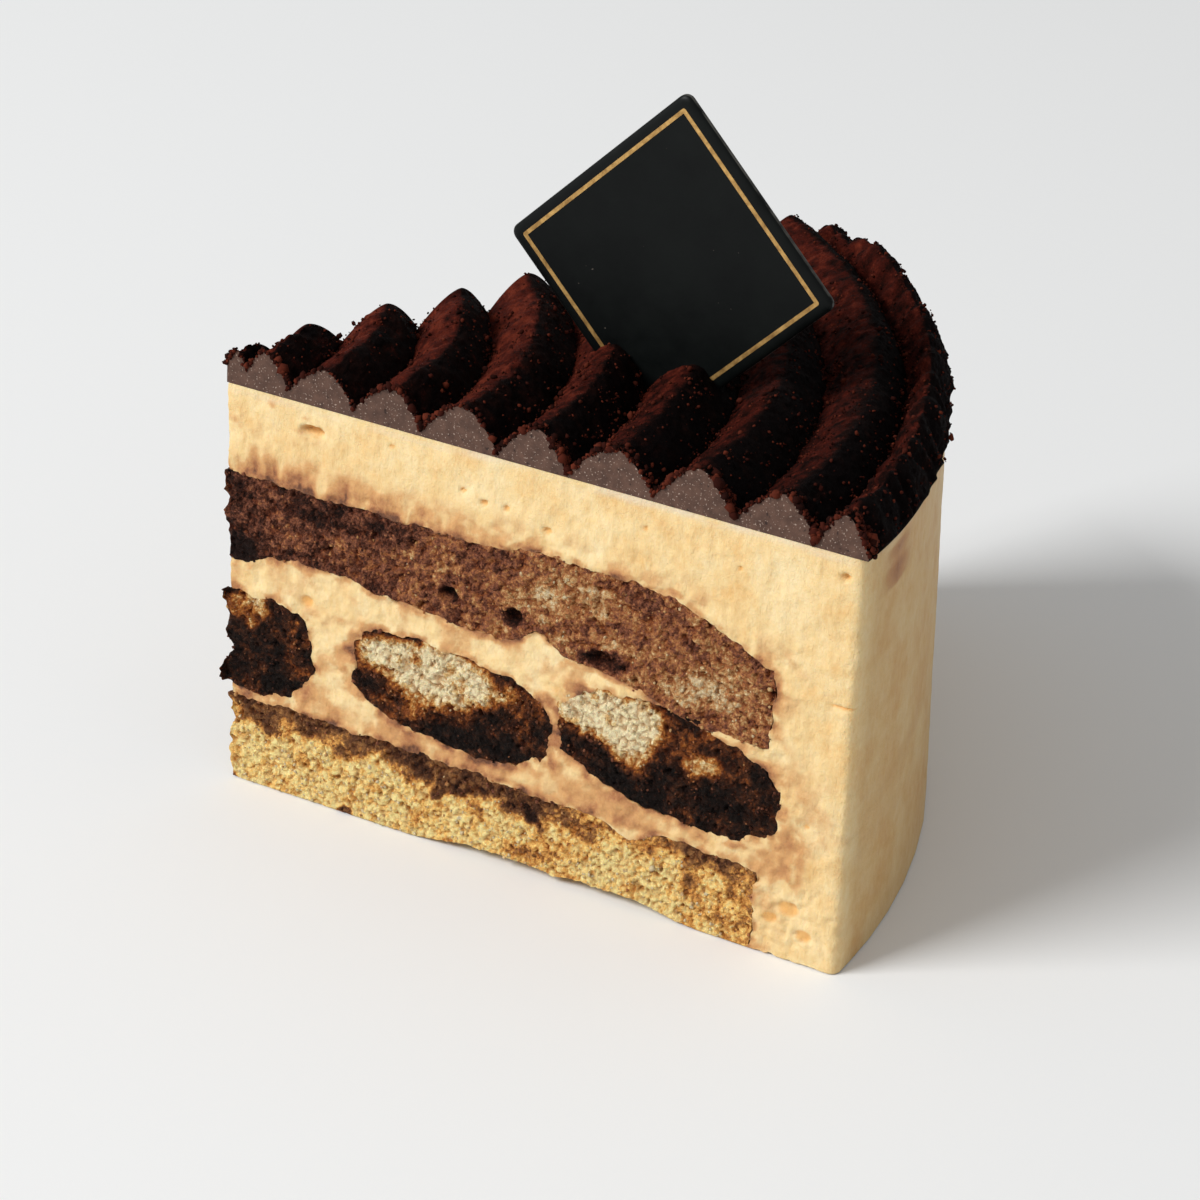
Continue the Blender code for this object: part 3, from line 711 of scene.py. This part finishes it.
cocoa_material = surface("cocoa_dusted_ganache", cocoa_look)
ganache_material = surface("cut_ganache", ganache_look)
rope_tops = []
for number, crest in enumerate(CRESTS):
    section = rope_section(number)
    across = section[:, 0]
    radius_mid = (VALLEYS[number] + VALLEYS[number + 1]) / 2
    length = max(radius_mid + CAKE_X, 2.0) * 1.15
    rings = int(np.clip(length / ROPE_STEP, 24, 270))
    share = np.concatenate([[0.0, 0.0004], np.linspace(0.0, 1.0, rings + 1)[1:-1], [0.9996, 1.0]])
    c, rho = np.meshgrid(share, across, indexing="ij")
    lift = np.broadcast_to(section[:, 1], rho.shape)
    rim_ring = number == len(CRESTS) - 1
    angle = c * math.radians(58.0)
    swell = 1.0 + 0.05 * np.sin(9.0 * angle + 1.7 * (number + 1)) + 0.03 * np.sin(21.0 * angle + number + 1)
    if rim_ring:
        swell = swell * (1.0 - 0.6 * smooth_step(angle, math.radians(49.5), math.radians(55.0)))
    heights = ROPE_BASE + lift * swell
    section_x = np.maximum(np.sqrt(rho ** 2 - CAKE_Y ** 2) + CAKE_X, tip_x(heights) + TIP_WIDTH - 0.25)
    points = round_cake(section_x.reshape(-1), heights.reshape(-1), c.reshape(-1))
    count, around = c.shape
    index = np.arange(count * around).reshape(count, around)
    ahead = np.roll(index, -1, axis=1)
    quads = np.stack([index[:-1], index[1:], ahead[1:], ahead[:-1]], axis=-1).reshape(-1, 4)
    normals = corner_normals(points, quads)
    grooves = fractal(points @ GROOVE_TURN, (0.7, 3.2, 1.4), 3, 200)
    powder = 0.26 * fractal(points, 1.5, 4, 201 + number) + 0.18 * grooves
    powder += 0.22 * fractal(points, 0.6, 2, 230)
    slump = 0.34 * noise(points, 4.0, 260 + number)
    ripple = 0.42 * np.sin(120.0 * angle.reshape(-1) + 3.0 * noise(points, 6.0, 240)) if rim_ring else 0.0
    exposed = smooth_step(lift.reshape(-1), 0.0, 0.5) * smooth_step(c.reshape(-1), 0.0, 0.006)
    exposed *= smooth_step(c.reshape(-1), 1.0, 0.994)
    points = points + normals * ((powder + slump + ripple) * exposed)[:, None]
    relative = (lift / section[:, 1].max()).reshape(-1)
    # Painted light and shade: the cocoa value rises on flanks that face the key lamp (front-left, above) and
    # falls towards the rim, so the ramp gives rusty lit powder and near-black shade; noise varies it
    toward_lamp = normals @ np.array([-0.6, -0.55, 0.58])
    rim_shade = 0.24 * smooth_step(points[:, 0], 25.0, 75.0)
    cocoa = 0.28 + 0.60 * smooth_step(toward_lamp, 0.35, 0.95) - rim_shade + 0.55 * fractal(points, 1.3, 4, 270)
    faces = quads.tolist() + [index[0].tolist(), index[-1][::-1].tolist()]
    kinds = np.zeros(len(faces), int)
    kinds[-2:] = 1
    piece = put(f"cocoa_rope_{number + 1:02d}", {"points": points, "faces": faces},
                [cocoa_material, ganache_material], {"cocoa": cocoa}, kinds, 14.0)
    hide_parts(f"ganache_ridge_{number + 1:02d}")
    top_side = lift.reshape(-1) > 0.2
    rope_tops.append((points[top_side], normals[top_side], relative[top_side], c.reshape(-1)[top_side]))


# ==== Cocoa clumps: loose cocoa powder that has balled up ====
# Sifted cocoa gathers into soft rusty grains in the valleys between the ropes and
# along their front edges. Each grain is a small uneven lump lying on the ropes.

ICO = (1.0 + math.sqrt(5.0)) / 2.0
ICO_POINTS = np.array([(-1, ICO, 0), (1, ICO, 0), (-1, -ICO, 0), (1, -ICO, 0), (0, -1, ICO), (0, 1, ICO),
                       (0, -1, -ICO), (0, 1, -ICO), (ICO, 0, -1), (ICO, 0, 1), (-ICO, 0, -1), (-ICO, 0, 1)])
ICO_POINTS /= np.linalg.norm(ICO_POINTS[0])
ICO_FACES = np.array([(0, 11, 5), (0, 5, 1), (0, 1, 7), (0, 7, 10), (0, 10, 11), (1, 5, 9), (5, 11, 4),
                      (11, 10, 2), (10, 7, 6), (7, 1, 8), (3, 9, 4), (3, 4, 2), (3, 2, 6), (3, 6, 8),
                      (3, 8, 9), (4, 9, 5), (2, 4, 11), (6, 2, 10), (8, 6, 7), (9, 8, 1)])


def lumps_at(middles, sizes, rng):
    """Twenty-sided lumps, each corner moved in or out by up to a third, turned and flattened at random."""
    count = len(middles)
    turn = np.linalg.qr(rng.normal(size=(count, 3, 3)))[0]
    turn *= np.sign(np.linalg.det(turn))[:, None, None]
    shape = ICO_POINTS[None] * rng.uniform(0.68, 1.32, (count, 12, 1)) * rng.uniform(0.65, 1.1, (count, 1, 3))
    points = np.einsum("nij,nkj->nki", turn, shape) * sizes[:, None, None] + middles[:, None]
    faces = ICO_FACES[None] + 12 * np.arange(count)[:, None, None]
    return {"points": points.reshape(-1, 3), "faces": faces.reshape(-1, 3)}


CLUMPS = 7000
rng = np.random.default_rng(7)
places = np.concatenate([part[0] for part in rope_tops])
outward = np.concatenate([part[1] for part in rope_tops])
relative = np.concatenate([part[2] for part in rope_tops])
share = np.concatenate([part[3] for part in rope_tops])
chance = 0.5 * (1.0 - relative) ** 2 + 0.10 + 6.0 * smooth_step(share, 0.03, 0.0) * (1.2 - relative)
chance *= 0.2 + smooth_step(fractal(places, 3.5, 3, 301), -0.1, 0.5)
chosen = rng.choice(len(places), CLUMPS, p=chance / chance.sum())
sizes = np.clip(rng.lognormal(-1.75, 0.45, len(chosen)), 0.08, 0.6) * (1.0 + 0.5 * (share[chosen] < 0.02))
middles = places[chosen] + outward[chosen] * (sizes * 0.35)[:, None] + rng.normal(0.0, 0.12, (len(chosen), 3))
middles[:, 1] = np.maximum(middles[:, 1], -0.6)


def clump_look(w):
    """Rusty cocoa, each grain its own shade."""
    own = w.stored("own") + (w.grain(0.3, 3.0) - 0.5) * 0.4
    colour = w.steps(own, [(0.0, shade(26, 9, 6)), (0.5, shade(56, 21, 14)), (1.0, shade(92, 40, 26))])
    return {"Base Color": colour, "Roughness": 0.85, "Specular IOR Level": 0.05}


piece = put("cocoa_clumps", lumps_at(middles, sizes, rng), [surface("cocoa_powder", clump_look)],
            {"own": np.repeat(rng.uniform(0.0, 1.0, len(chosen)), 12)})


# ==== Loose crumb: bits of sponge torn out by the knife ====
# Small grains that cling to the two cut faces of the sponges and ladyfingers. They are
# drier than what they hang on, so most are a shade paler than the crumb behind.

CRUMBS = 6500
crumbly = [top, bottom] + fingers
on_cuts = [(part["c"] == 0.0) | (part["c"] == 1.0) for part in crumbly]
edge_points = np.concatenate([part["points"][cut] for part, cut in zip(crumbly, on_cuts)])
edge_soak = np.concatenate([part["soak"][cut] for part, cut in zip(crumbly, on_cuts)])
chosen = rng.choice(len(edge_points), CRUMBS)
sizes = np.clip(rng.lognormal(-1.85, 0.38, len(chosen)), 0.08, 0.42)
middles = edge_points[chosen] + rng.normal(0.0, 0.1, (len(chosen), 3))
middles[:, 2] = np.maximum(middles[:, 2], sizes)
held = edge_soak[chosen] - 0.08 + rng.normal(0.0, 0.13, len(chosen))
loose_material = surface("loose_crumb", crumb_look(COFFEE_STOPS, 0.2))
piece = put("loose_crumb", lumps_at(middles, sizes, rng), [loose_material],
            {"soak": np.repeat(held, 12), "pore": np.zeros(12 * len(chosen))})


# ==== Card: a square of black card with a gold line ====
# Thick satin card, cut with rounded corners and pressed thinner along its edge, stuck
# corner down into the ropes and leaning back a little. It carries a thin gold square.

CARD_SIDE, CARD_THICKNESS, CARD_CORNER = 36.2, 1.6, 1.4
CARD_MIDDLE = (50.6, 33.6, 82.6)
card_pose = np.array(Matrix.Rotation(math.radians(1.6), 3, "Z") @ Matrix.Rotation(math.radians(-3.6), 3, "X")
                     @ Matrix.Rotation(math.radians(45.0), 3, "Y"))


def on_card(local):
    """Turn points of the card's own plane, x and z across it and y through it, into the slice."""
    return local @ card_pose.T + np.array(CARD_MIDDLE)


def rounded_square(half, radius, per_corner=9):
    """Corner points on quarter circles of that radius, anticlockwise from the right."""
    turn = np.linspace(0.0, math.pi / 2, per_corner)
    parts = []
    for quarter in range(4):
        a = turn + quarter * math.pi / 2
        middle = math.pi / 4 + quarter * math.pi / 2
        reach = (half - radius) * math.sqrt(2.0)
        parts.append(np.stack([reach * math.cos(middle) + radius * np.cos(a),
                               reach * math.sin(middle) + radius * np.sin(a)], axis=1))
    return np.concatenate(parts)


# From the front face to the back one: (distance in from the edge, share of half the thickness)
CARD_PROFILE = ((1.5, -1.0), (0.9, -0.97), (0.45, -0.86), (0.15, -0.66), (0.0, -0.40),
                (0.0, 0.40), (0.15, 0.66), (0.45, 0.86), (0.9, 0.97), (1.5, 1.0))
rings = []
for inset, depth in CARD_PROFILE:
    outline = rounded_square(CARD_SIDE / 2 - inset, max(CARD_CORNER - inset * 0.5, 0.4))
    through = np.full(len(outline), depth * CARD_THICKNESS / 2)
    rings.append(np.stack([outline[:, 0], through, outline[:, 1]], axis=1))
rings = np.array(rings)
index = np.arange(rings.shape[0] * rings.shape[1]).reshape(rings.shape[:2])
ahead = np.roll(index, -1, axis=1)
quads = np.stack([index[:-1], ahead[:-1], ahead[1:], index[1:]], axis=-1).reshape(-1, 4)
faces = quads[:, ::-1].tolist() + [index[0].tolist(), index[-1][::-1].tolist()]
core = np.repeat([1.0 if inset == 0.0 else 0.0 for inset, _ in CARD_PROFILE], rings.shape[1])


def card_look(w):
    """Black satin, faintly mottled, with a greyer core showing along the cut edge."""
    colour = w.steps(w.grain(6.0, 4.0), [(0.3, shade(7, 9, 9)), (0.7, shade(13, 16, 15))])
    bare = w.stored("core").rise(0.6, 1.0) * w.grain(3.0, 3.0).rise(0.35, 0.6)
    colour = w.mix(colour, shade(92, 90, 84), bare * 0.8)
    dust = w.grain(0.5, 1.0).rise(0.80, 0.84)
    colour = w.mix(colour, shade(130, 120, 110), dust * 0.5)
    return {"Base Color": colour, "Roughness": w.grain(3.0, 4.0) * 0.25 + 0.28,
            "Specular IOR Level": 0.12, "Normal": w.bumps(w.grain(1.2, 3.0), 0.02)}


piece = put("black_card", {"points": on_card(rings.reshape(-1, 3)), "faces": faces},
            [surface("black_card", card_look)], {"core": core}, sharp=40.0)
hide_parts("card")

# ==== Gold line: foil pressed on the card ====
# A narrow square line of gold foil near the card's edge, a few hundredths of a
# millimetre thick, worn a little thinner in places.

LINE_HALF, LINE_WIDTH, LINE_PROUD = 16.2, 0.6, 0.03
outer = rounded_square(LINE_HALF + LINE_WIDTH / 2, 0.35, 5)
inner = rounded_square(LINE_HALF - LINE_WIDTH / 2, 0.12, 5)
front_y, back_y = -CARD_THICKNESS / 2 - LINE_PROUD, -CARD_THICKNESS / 2 + 0.02
loops = np.array([np.stack([line[:, 0], np.full(len(line), y), line[:, 1]], axis=1)
                  for line, y in ((outer, front_y), (inner, front_y), (inner, back_y), (outer, back_y))])
index = np.arange(loops.shape[0] * loops.shape[1]).reshape(loops.shape[:2])
ahead, below = np.roll(index, -1, axis=1), np.roll(index, -1, axis=0)
quads = np.stack([index, ahead, np.roll(ahead, -1, axis=0), below], axis=-1).reshape(-1, 4)


def gold_look(w):
    """Gold foil, a little uneven."""
    wear = w.grain(1.2, 3.0)
    return {"Base Color": w.steps(wear, [(0.3, shade(150, 112, 62)), (0.7, shade(214, 172, 104))]),
            "Metallic": 0.7, "Roughness": wear * 0.2 + 0.35}


piece = put("gold_line", {"points": on_card(loops.reshape(-1, 3)), "faces": quads},
            [surface("gold_foil", gold_look)], sharp=30.0)

# ==== Floor, light and camera ====
# A plain near-white floor, one broad soft lamp in front and to the left, and an even
# pale sky that fills the shadows.

floor_mesh = bpy.data.meshes.new("floor")
FLOOR_HALF, FLOOR_DROP = 3.0, -0.0002
floor_mesh.from_pydata([(x, y, FLOOR_DROP) for x, y in (
    (-FLOOR_HALF, -FLOOR_HALF), (FLOOR_HALF, -FLOOR_HALF), (FLOOR_HALF, FLOOR_HALF), (-FLOOR_HALF, FLOOR_HALF))],
    [], [(0, 1, 2, 3)])
floor = bpy.data.objects.new("floor", floor_mesh)
bpy.context.scene.collection.objects.link(floor)
floor_mesh.materials.append(surface("floor", lambda w: {
    "Base Color": shade(238, 239, 239), "Roughness": 0.9, "Specular IOR Level": 0.1}))

LAMP_AIM = Vector((0.0, 0.0, 0.04))
lamp_data = bpy.data.lights.new("key", "AREA")
lamp_data.shape = "RECTANGLE"
lamp_data.size, lamp_data.size_y = 1.4, 1.0
lamp_data.energy = 84.0
lamp = bpy.data.objects.new("key", lamp_data)
lamp.location = LAMP_AIM + Vector((-0.6, -0.8, 0.0)) * 2.38 + Vector((0.0, 0.0, 1.80))
lamp.rotation_euler = (LAMP_AIM - lamp.location).to_track_quat("-Z", "Y").to_euler()
bpy.context.scene.collection.objects.link(lamp)

world = bpy.data.worlds.new("sky")
world.use_nodes = True
world.node_tree.nodes["Background"].inputs["Color"].default_value = (1.0, 1.0, 1.0, 1.0)
world.node_tree.nodes["Background"].inputs["Strength"].default_value = 0.42
bpy.context.scene.world = world
bpy.context.scene.view_settings.view_transform = "Standard"

camera_data = bpy.data.cameras.new("camera")
camera_data.sensor_width = 36.0
camera_data.lens = 108.23
camera_data.clip_end = 20.0
camera = bpy.data.objects.new("camera", camera_data)
camera.matrix_world = Matrix(((0.87607, -0.25902, 0.40671, 0.21165), (0.47878, 0.36719, -0.79746, -0.44793),
                              (0.05722, 0.89335, 0.44570, 0.26665), (0.0, 0.0, 0.0, 1.0)))
bpy.context.scene.collection.objects.link(camera)
bpy.context.scene.camera = camera
